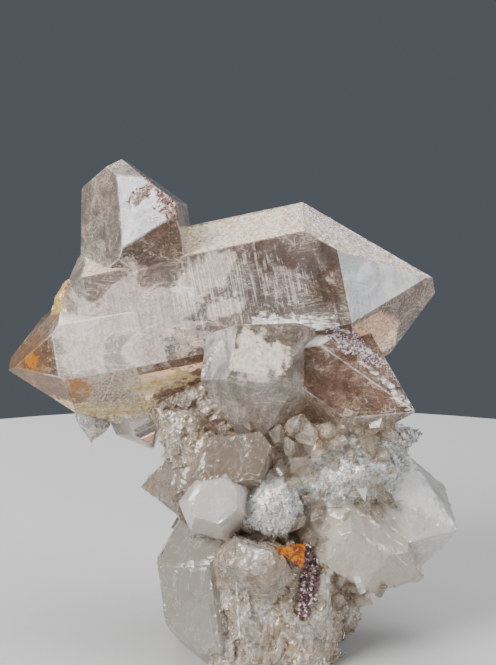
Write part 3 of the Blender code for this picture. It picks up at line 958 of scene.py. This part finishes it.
def milky_quartz():
    """Milky, broken and frosted quartz: small bright facets, with a little light going through."""
    tree = Tree("milky_quartz")
    haze, frost = tree.look()
    wide = tree.noise(tree.place, 0.1, 3.0, 0.6, 0.8)
    fine = tree.noise(tree.place, 1.3, 4.0, 0.8)
    ragged = tree.noise(tree.place, 0.7, 3.0, 0.6)
    streak = tree.noise(tree.squeezed((0.22, 0.22, 0.1)), 1.0, 4.0, 0.65, 1.2)
    broken = tree.between(frost, 0.08, 0.25)
    frosted = tree.between(tree.piled(fine, [(frost, 0.4)]), 0.62, 0.8)
    cracks = tree.veins(tree.squeezed((0.17, 0.17, 0.08)), 1.0, 0.014, 1.5)
    cracks = tree.times(cracks, tree.math("MULTIPLY_ADD", broken, 0.7, 0.3))
    uneven = tree.times(tree.between(wide, 0.38, 0.62), tree.math("MULTIPLY_ADD", broken, 0.8, 0.2))
    # Painted shade: points chipped in deeper are made darker brown, as a shaded hollow would look.
    painted_hollow_shade = tree.times(tree.between(tree.number("deep"), 0.5, 0.85), broken)
    pale = tree.times(tree.between(streak, 0.36, 0.46, 1.0, 0.0), broken)
    dust = tree.times(tree.between(streak, 0.52, 0.62), broken)
    rust = tree.times(tree.between(ragged, 0.62, 0.7), broken)

    shade = tree.mix(uneven, (1.0, 1.0, 1.0), (0.8, 0.62, 0.44))
    tree.set("Base Color", tree.painted(tree.mix(1.0, tree.attribute("tint"), shade, "MULTIPLY"), [
        (painted_hollow_shade, 0.55, (0.4, 0.29, 0.2)),
        (pale, 0.7, (0.96, 0.92, 0.86)),
        (dust, 0.5, (0.4, 0.27, 0.17)),
        (frosted, 0.85, (1.0, 0.99, 0.96)),
        (cracks, 0.8, (1.0, 0.96, 0.9)),
        (rust, 0.4, (0.55, 0.36, 0.18)),
        (tree.patch(YELLOW_STAINS, ragged), 0.8, (0.9, 0.58, 0.14)),
    ]))
    solid = tree.piled(haze, [(frosted, 0.3), (cracks, 0.3)])
    tree.set("Transmission Weight", tree.math("SUBTRACT", 1.0, solid, clamp=True))
    tree.set("Roughness", tree.math("MULTIPLY_ADD", broken, -0.12, 0.2))
    tree.set("IOR", QUARTZ_IOR)
    tree.set("Specular IOR Level", 1.0)
    small = tree.math("MULTIPLY_ADD", broken, 0.3, 0.02)
    large = tree.math("MULTIPLY_ADD", broken, 0.6, 0.02)
    tree.set("Normal", tree.facets([(0.9, small), (3.5, large)]))
    return tree.smoky(MILKY_SMOKE_DENSITY, MILKY_SMOKE_COLOUR)


def grains_material(name, roughness, ior, see=0.0):
    """Small grains, each in its own tint. see is the share of light that goes through."""
    tree = Tree(name)
    tree.set("Base Color", tree.attribute("tint"))
    tree.set("Transmission Weight", see)
    tree.set("Roughness", roughness)
    tree.set("IOR", ior)
    return tree.material


# Loose grains and shards: how many, and how frosted or chipped the faces are that carry them.
GRAIN_COUNT = 4500
GRAIN_FROST = 0.7
SHARD_COUNT = 2000
SHARD_CHIP = 0.6
# The part of the front that shards keep off: x, z and how far.
BARE_ZONE = (5.0, 24.0, 8.0)

# How many places are tried for each grain of a crust.
PATCH_TRIES = 25
# Coloured crusts: places on the crystals in millimetres and how far each reaches.
BROWN_CRUST = ((-30.4, -4, 115.4, 1.3), (-31.2, -6.6, 114, 1.5), (-32.3, -7.1, 112.2, 1.1),
               (-33, -7.3, 110.9, 0.7), (-27.5, -8.5, 113.6, 1), (-25.2, -9.5, 112, 1.2),
               (-23.2, -11.2, 110.3, 1.3), (-25.4, -10.9, 109.9, 1))
PURPLE_CRUST = ((19.5, -15.8, 78.4, 2.6), (14.5, -17.4, 80.8, 1.6), (25, -15.5, 74, 1.6),
                (22.5, -17, 75.2, 1.4), (17, -18.5, 77.8, 1.4))
PINK_CRUST = ((12, 4.5, 106.4, 3.5), (17, 1, 103.3, 3), (24, 0, 100, 2.2),
              (21.3, -15.7, 85.7, 1.6), (18.5, -16.3, 87.5, 0.9))
CRUST_COLOURS = ((0.12, 0.05, 0.09), (0.26, 0.12, 0.14), (0.5, 0.36, 0.38), (0.8, 0.7, 0.7),
                 (0.95, 0.9, 0.88))
HEMATITE_COLOURS = ((0.07, 0.03, 0.04), (0.13, 0.05, 0.06), (0.2, 0.08, 0.08), (0.3, 0.15, 0.14),
                    (0.75, 0.68, 0.66))
BROWN_COLOURS = ((0.16, 0.08, 0.06), (0.28, 0.16, 0.12), (0.42, 0.27, 0.2), (0.66, 0.52, 0.44))
PINK_COLOURS = ((0.35, 0.2, 0.22), (0.85, 0.7, 0.68), (0.9, 0.88, 0.86), (0.6, 0.62, 0.75))
# The strip of dark crystals on the front, as x, z and half width, and how many it has.
HEMATITE_COUNT = 900
HEMATITE_PROUD = 0.7
HEMATITE_SIZE = (0.35, 0.85)
HEMATITE_LINE = ((7.9, 31, 0.9), (8.7, 27, 2), (8.9, 22.7, 2.1), (8.4, 18, 2), (7.2, 13.6, 1.2))
# Where rays towards the front surface start, how a plate and a crack lie on it, and a crack's steps.
RAY_START = -90.0
PLATE_SLOPE = 2.0
PLATE_THICKNESS = 1.6
CRACK_STEPS = 8
CRACK_PROUD = 0.12
CRACK_SUNK = 0.3
# Single marks on the front, as x and z. A crack's last value is its half width.
ORANGE_TRIANGLE = ((0.3, 31.4), (7.6, 31.9), (7.2, 25.9))
# Painted highlights: white flakes where small facets catch the light.
PAINTED_HIGHLIGHT_CHIPS = (((20, 44), (22.7, 43.6), (22.2, 40.4)),
                ((19.3, 22.7), (20.9, 22.7), (22.6, 18.2), (21.2, 17.6)))
BRIGHT_CRACKS = (((-8.8, 23.2), (-8.4, 14.6), (-7.7, 7.6), 0.28),
                 ((28.2, 29.9), (31, 25.6), (33.4, 22.4), 0.16),
                 ((-37.6, 72.1), (-40, 66.6), (-42.2, 61.6), 0.18))


def palette(colours, count, rng):
    chosen = np.array(colours)[rng.integers(0, len(colours), count)]
    return chosen * rng.uniform(0.75, 1.15, (count, 1))


def patch_places(data, patches, count, seed):
    """Random places on a mesh that lie within ragged round patches."""
    middles = np.array([p.center for p in data.polygons]) / MM
    centres, reaches = np.array(patches)[:, :3], np.array(patches)[:, 3]
    apart = np.linalg.norm(middles[:, None] - centres[None], axis=2).min(1)
    size = np.sqrt(np.array([p.area for p in data.polygons])) / MM
    wanted = (apart < reaches.max() * 2.0 + size * 2.0).astype(float)
    places, normals = surface_places(data, count * PATCH_TRIES, wanted, seed)
    rng = np.random.default_rng(seed)
    reach = reaches[None] * rng.uniform(0.4, 1.4, (len(places), 1))
    inside = (np.linalg.norm(places[:, None] - centres[None], axis=2) < reach).any(1)
    return places[inside][:count], normals[inside][:count]


def crust(name, data, patches, colours, count, size, material, seed):
    places, normals = patch_places(data, patches, count, seed)
    rng = np.random.default_rng(seed + 1)
    sizes = rng.uniform(*size, len(places))
    tints = palette(colours, len(places), rng)
    scattered(name, chunk_shape(), places, normals, sizes, 0.5, -0.05, tints, material, seed + 2)


def front_of(tree, x, z):
    """The frontmost point of the surface at this x and z, in millimetres."""
    place = tree.ray_cast(Vector((x, RAY_START, z)) * MM, Vector((0.0, 1.0, 0.0)))[0]
    return None if place is None else place / MM


def hematite_strip(tree, material):
    """Small dark shining crystals along a line down the front."""
    rng = np.random.default_rng(41)
    places = []
    for _ in range(HEMATITE_COUNT):
        step = rng.uniform(0.0, len(HEMATITE_LINE) - 1.001)
        first, after = HEMATITE_LINE[int(step)], HEMATITE_LINE[int(step) + 1]
        share = step - int(step)
        x, z, half = (a + share * (b - a) for a, b in zip(first, after))
        place = front_of(tree, x + rng.uniform(-half, half), z)
        if place is not None:
            places.append(place + Vector((0.0, -rng.uniform(0.0, HEMATITE_PROUD), 0.0)))
    places = np.array(places)
    normals = np.tile((0.0, -1.0, 0.0), (len(places), 1))
    sizes = rng.uniform(*HEMATITE_SIZE, len(places))
    tints = palette(HEMATITE_COLOURS, len(places), rng)
    scattered("hematite_strip", chunk_shape(), places, normals, sizes, 0.6, 0.0, tints, material, 42)


def plate(name, tree, outline, proud, material):
    """A thin flat flake on the front surface: its corners as x and z, and how far it stands out."""
    corners = [front_of(tree, x, z) for x, z in outline]
    if None in corners:
        return
    deepest = min(corner.y for corner in corners) + PLATE_SLOPE
    mesh = bmesh.new()
    front = [mesh.verts.new(Vector((c.x, min(c.y, deepest) - proud, c.z)) * MM) for c in corners]
    back = [mesh.verts.new(v.co + Vector((0.0, PLATE_THICKNESS * MM, 0.0))) for v in front]
    mesh.faces.new(front)
    mesh.faces.new(back[::-1])
    for here in range(len(front)):
        after = (here + 1) % len(front)
        mesh.faces.new((front[here], back[here], back[after], front[after]))
    bmesh.ops.recalc_face_normals(mesh, faces=mesh.faces[:])
    placed(name, stored(mesh, bpy.data.meshes.new(name)), material)


def crack_line(name, tree, line, material):
    """A bright narrow crack: a ribbon that follows the front surface."""
    *stops, half = line
    places = []
    for first, after in zip(stops, stops[1:]):
        for step in range(CRACK_STEPS):
            x, z = (a + (b - a) * step / CRACK_STEPS for a, b in zip(first, after))
            places.append(front_of(tree, x, z))
    mesh = bmesh.new()
    rows = []
    for step, place in enumerate(place for place in places if place is not None):
        wide = half * (0.6 + 0.8 * abs(sin(2.1 * step)))
        rows.append([mesh.verts.new((place + Vector((side * wide, sunk - CRACK_PROUD, 0.0))) * MM)
                     for side, sunk in ((-1, CRACK_SUNK), (0, 0.0), (1, CRACK_SUNK))])
    for first, after in zip(rows, rows[1:]):
        for side in range(2):
            mesh.faces.new((first[side], first[side + 1], after[side + 1], after[side]))
    bmesh.ops.recalc_face_normals(mesh, faces=mesh.faces[:])
    placed(name, stored(mesh, bpy.data.meshes.new(name)), material)


def crack_white_and_painted_highlight():
    """The white of open cracks, and a painted highlight on small facets that catch the light."""
    tree = Tree("crack_white_and_painted_highlight")
    tree.set("Base Color", (0.95, 0.95, 0.94, 1.0))
    tree.set("Roughness", tree.between(tree.noise(tree.place, 2.0), 0.3, 0.7, 0.1, 0.35))
    tree.set("IOR", QUARTZ_IOR)
    return tree.material


def iron_stain():
    """Orange iron oxide with darker spots."""
    tree = Tree("iron_stain")
    dark = tree.between(tree.noise(tree.place, 0.9, 5.0, 0.8), 0.44, 0.56)
    tree.set("Base Color", tree.mix(dark, (0.8, 0.24, 0.01), (0.22, 0.05, 0.01)))
    tree.set("Roughness", 0.3)
    tree.set("Normal", tree.facets([(0.7, 0.5)]))
    return tree.material


def quartz_bits(name, shape, found, spread, lean, sink, tint, material, seed, rng):
    """Small pieces of quartz. spread: shape and scale of the gamma spread of their sizes, and the least."""
    places, normals = found
    count = len(places)
    sizes = rng.gamma(spread[0], spread[1], count) + spread[2]
    tints = rng.uniform(tint[0], 1.0, (count, 1)) * np.array(tint[1])
    scattered(name, shape, places, normals, sizes, lean, sink, tints, material, seed)


def grains_and_shards(clear_data, milky_data):
    """Frosty grains on the frosted crystals, and glassy shards on the broken ones."""
    look = np.zeros(len(milky_data.polygons) * 3, np.float32)
    milky_data.attributes["look"].data.foreach_get("vector", look)
    frost, chip = look.reshape(-1, 3)[:, 1], look.reshape(-1, 3)[:, 2]
    rng = np.random.default_rng(6)
    found = surface_places(milky_data, GRAIN_COUNT, np.where(frost > GRAIN_FROST, 1.0, 0.0), 5)
    found = uncovered(*found, clear_data)
    grains = grains_material("frosty_grains", 0.05, QUARTZ_IOR, 0.25)
    quartz_bits("druse_grains", point_shape(), found, (3.0, 0.1, 0.2), 0.5, 0.0,
                (0.75, (0.95, 0.94, 0.92)), grains, 9, rng)
    places, normals = surface_places(milky_data, SHARD_COUNT, np.where(chip > SHARD_CHIP, 1.0, 0.0), 15)
    x, z, reach = BARE_ZONE
    free = np.hypot(places[:, 0] - x, places[:, 2] - z) > reach
    found = uncovered(places[free], normals[free], clear_data)
    shards = grains_material("glassy_shards", 0.05, QUARTZ_IOR, 0.8)
    quartz_bits("quartz_shards", flake_shape(), found, (2.5, 0.35, 0.5), 0.4, 0.02,
                (0.8, (1.0, 0.94, 0.86)), shards, 19, rng)


def crusts_and_marks(clear_data, milky_data):
    """The mineral crusts, and on the front the white cracks and the single white flakes that are painted
    highlights.
    """
    crusts = grains_material("mineral_crust", 0.35, 1.7)
    crust("brown_crust", clear_data, BROWN_CRUST, BROWN_COLOURS, 1500, (0.25, 0.5), crusts, 51)
    crust("purple_crust", clear_data, PURPLE_CRUST, CRUST_COLOURS, 1500, (0.2, 0.5), crusts, 54)
    crust("pink_crust", clear_data, PINK_CRUST, PINK_COLOURS, 700, (0.2, 0.45), crusts, 57)
    vertices, polygons = [], []
    for data in (clear_data, milky_data):
        shift = len(vertices)
        vertices += [v.co for v in data.vertices]
        polygons += [tuple(index + shift for index in p.vertices) for p in data.polygons]
    tree = bvhtree.BVHTree.FromPolygons(vertices, polygons)
    hematite_strip(tree, crusts)
    plate("orange_stain", tree, ORANGE_TRIANGLE, 0.5, iron_stain())
    bright = crack_white_and_painted_highlight()
    # Painted highlights: white flakes standing in for small facets that catch the light.
    for number, outline in enumerate(PAINTED_HIGHLIGHT_CHIPS):
        plate(f"painted_highlight_chip_{number}", tree, outline, 0.3, bright)
    for number, line in enumerate(BRIGHT_CRACKS):
        crack_line(f"bright_crack_{number}", tree, line, bright)


def floor_material():
    tree = Tree("pale_floor")
    tree.set("Base Color", (0.6, 0.6, 0.59, 1.0))
    tree.set("Roughness", 0.6)
    return tree.material


def softbox(name, towards, distance, size, brightness, colour=(1.0, 1.0, 1.0)):
    """A square lamp in that direction from the cluster. brightness is its radiance."""
    light = bpy.data.lights.new(name, "AREA")
    light.shape = "SQUARE"
    light.size = size
    light.energy = brightness * pi * size * size
    light.color = colour
    made = linked(name, light)
    direction = Vector(towards).normalized()
    made.location = VIEW_CENTRE * MM + direction * distance
    made.rotation_euler = direction.to_track_quat("Z", "Y").to_euler()


def lights():
    softbox("upper_left_softbox", (-0.62, -0.55, 0.56), 1.0, 0.55, 15.0)
    softbox("right_softbox", (0.86, -0.32, 0.39), 1.1, 0.5, 7.0, (0.93, 0.97, 1.0))
    softbox("overhead_softbox", (0.05, 0.15, 1.0), 1.1, 1.1, 2.8)
    softbox("rear_softbox", (-0.35, 0.85, 0.45), 1.3, 0.6, 3.5)
    world = bpy.data.worlds.new("studio")
    world.use_nodes = True
    world.node_tree.nodes["Background"].inputs["Color"].default_value = BACKDROP_COLOUR
    bpy.context.scene.world = world


def floor():
    """A plain pale round table top, whose far edge is behind the lower part of the cluster."""
    mesh = bmesh.new()
    bmesh.ops.create_cone(mesh, cap_ends=True, segments=96, radius1=TABLE_RADIUS, radius2=TABLE_RADIUS,
                          depth=TABLE_THICKNESS)
    bmesh.ops.translate(mesh, vec=(VIEW_CENTRE.x * MM, 0.0, -TABLE_THICKNESS / 2.0), verts=mesh.verts[:])
    data = stored(mesh, bpy.data.meshes.new("table_top"))
    data.materials.append(floor_material())
    made = linked("table_top", data)


def camera():
    data = bpy.data.cameras.new("photo_view")
    data.sensor_fit = "VERTICAL"
    data.sensor_height = SENSOR_HEIGHT
    data.sensor_width = SENSOR_HEIGHT * IMAGE_WIDTH / IMAGE_HEIGHT
    data.lens = SENSOR_HEIGHT * VIEW_DISTANCE / VIEW_HEIGHT
    data.clip_start = 0.01
    made = linked("photo_view", data)
    towards = pointing(-90.0, VIEW_DOWN)
    made.location = (VIEW_CENTRE + towards * VIEW_DISTANCE) * MM
    made.rotation_euler = towards.to_track_quat("Z", "Y").to_euler()
    bpy.context.scene.camera = made


def main():
    camera()
    floor()
    lights()
    clear_group, milky_group = new_collection("clear"), new_collection("milky")
    all_crystals(clear_group, milky_group)
    clear_data, clear_names = joined("clear_crystals", clear_group)
    milky_data, milky_names = joined("milky_mass", milky_group)
    draw = random.Random(1)
    describe_faces(clear_data, clear_names, CLEAR_LOOKS, CLEAR_LOOK, WORN_EDGE_AND_HIGHLIGHT_LOOK, draw)
    describe_faces(milky_data, milky_names, MILKY_LOOKS, MILKY_LOOK, MILKY_LOOK, draw)
    split_long_edges(clear_data)
    split_long_edges(milky_data)
    chip_surface(clear_data, CLEAR_CHIPS, 21)
    wear_edges(milky_data, reach=1.5, depth=0.5, spacing=3.0, seed=41)
    chip_surface(milky_data, MILKY_CHIPS, 31, CHIP_SQUEEZE)
    clear_piece = placed("clear_crystals", clear_data, clear_quartz())
    milky_piece = placed("milky_mass", milky_data, milky_quartz())
    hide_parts("quartz_cluster")
    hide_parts("quartz_cluster")
    grains_and_shards(clear_data, milky_data)
    crusts_and_marks(clear_data, milky_data)


main()
